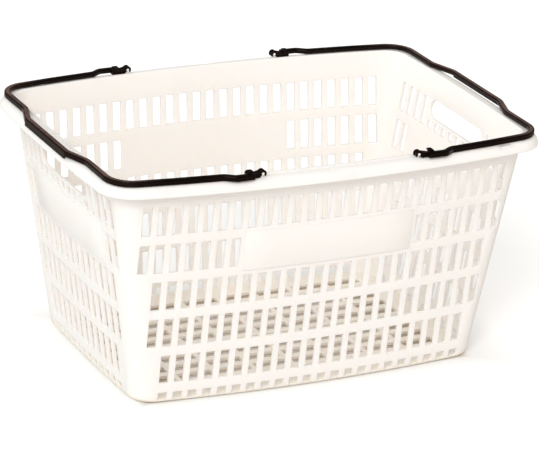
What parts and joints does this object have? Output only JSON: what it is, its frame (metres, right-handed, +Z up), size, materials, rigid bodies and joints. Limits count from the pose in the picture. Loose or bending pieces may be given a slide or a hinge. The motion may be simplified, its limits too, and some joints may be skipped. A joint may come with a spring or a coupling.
{
  "type": "shopping basket",
  "caption": "Tapered slotted plastic shopping basket with a down-turned rim, plain label panels, side hand holes and folding bail handles that clip on rim pins.",
  "frame": {"origin": "middle of the flat underside of the basket", "axes": "+Z up through the open top, +X along the long side towards the right-hand handle's grip, +Y towards the far long wall"},
  "size_m": [0.4402, 0.3188, 0.2275],
  "materials": {
    "white_plastic": "satin moulded polypropylene",
    "black_plastic": "glossy moulded plastic"
  },
  "bodies": {
    "basket": {"basket": "white_plastic"},
    "handle_left": {"handle_left": "black_plastic"},
    "handle_right": {"handle_right": "black_plastic"}
  },
  "joints": [
    {"name": "left_handle_swing", "type": "hinge", "parent": "basket", "child": "handle_left", "pos_m": [-0.0765, 0, 0.2241], "axis": [0, 1, 0], "range_deg": [0, 121]},
    {"name": "right_handle_swing", "type": "hinge", "parent": "basket", "child": "handle_right", "pos_m": [0.0765, 0, 0.2241], "axis": [0, -1, 0], "range_deg": [0, 121]}
  ]
}
